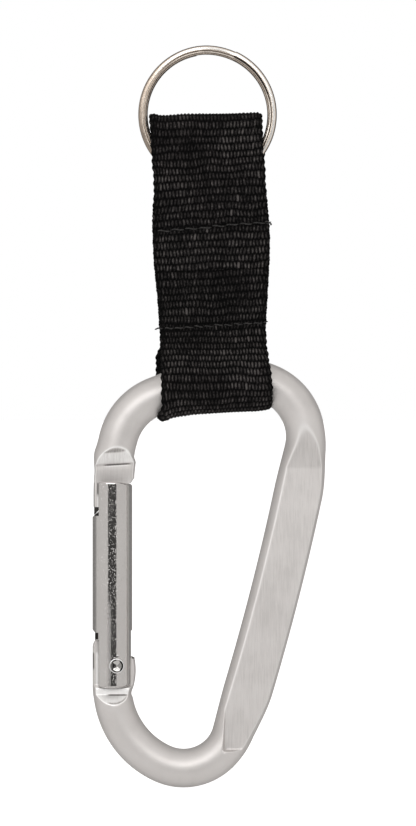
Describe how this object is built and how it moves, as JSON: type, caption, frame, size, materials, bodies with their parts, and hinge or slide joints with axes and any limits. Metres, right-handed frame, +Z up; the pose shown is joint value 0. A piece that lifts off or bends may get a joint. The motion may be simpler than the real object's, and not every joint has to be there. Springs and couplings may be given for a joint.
{
  "type": "carabiner keyring",
  "caption": "Snap hook keyring: a sprung-gate aluminium hook on a short folded webbing strap with a steel split ring.",
  "frame": {"origin": "where a peg bears on the split ring: the top of the ring's inner edge, in its middle plane", "axes": "+Z up along the hanging keyring, +X to the right towards the hook's spine, -Y out of the front"},
  "size_m": [0.0432, 0.0134, 0.1375],
  "materials": {
    "nickel_steel": "bright nickel plate, slightly warm",
    "black_webbing": "ribbed black webbing",
    "black_thread": "twisted black sewing thread",
    "satin_aluminium": "satin, tumbled",
    "polished_aluminium": "polished",
    "rivet_steel": "plain steel, staked end",
    "spring_steel": "drawn spring wire",
    "plunger_brass": "turned brass"
  },
  "bodies": {
    "ring": {"split_ring": "nickel_steel"},
    "strap_top": {"strap_ring_loop": "black_webbing"},
    "strap_mid": {"strap_middle": "black_webbing", "upper_seam_thread": "black_thread", "lower_seam_thread": "black_thread"},
    "strap_bottom": {"strap_hook_loop": "black_webbing"},
    "hook": {"hook_body": "satin_aluminium"},
    "gate": {"gate_sleeve": "polished_aluminium", "pivot_rivet": "rivet_steel", "gate_spring": "spring_steel"},
    "plunger": {"gate_plunger": "plunger_brass"}
  },
  "joints": [
    {"name": "ring_spin", "type": "hinge", "parent": "ring", "child": "strap_top", "pos_m": [0, 0, -0.01097], "axis": [0, 1, 0], "continuous": true},
    {"name": "strap_upper_fold", "type": "hinge", "parent": "strap_top", "child": "strap_mid", "pos_m": [0.00032, 0, -0.03001], "axis": [0.999, 0, 0.0436], "range_deg": [-80, 80], "stiffness_Nm_per_rad": 0.004},
    {"name": "strap_lower_fold", "type": "hinge", "parent": "strap_mid", "child": "strap_bottom", "pos_m": [0.00128, 0, -0.05179], "axis": [-0.999, 0, -0.0436], "range_deg": [-80, 80], "stiffness_Nm_per_rad": 0.004},
    {"name": "hook_swing", "type": "hinge", "parent": "strap_bottom", "child": "hook", "pos_m": [0.00167, 0, -0.06088], "axis": [0.999, 0, 0.0436], "range_deg": [-120, 120]},
    {"name": "gate_hinge", "type": "hinge", "parent": "hook", "child": "gate", "pos_m": [-0.0168, 0, -0.1128], "axis": [0, 1, 0], "range_deg": [0, 26], "stiffness_Nm_per_rad": 0.06, "springref_deg": -34.38},
    {"name": "plunger_slide", "type": "slide", "parent": "gate", "child": "plunger", "axis": [0, 0, 1], "range_m": [0, 0.0004], "deforming": ["gate_spring"]}
  ],
  "couplings": [
    {"joint": "plunger_slide", "follows": "gate_hinge", "m_per_rad": 0.00075}
  ]
}
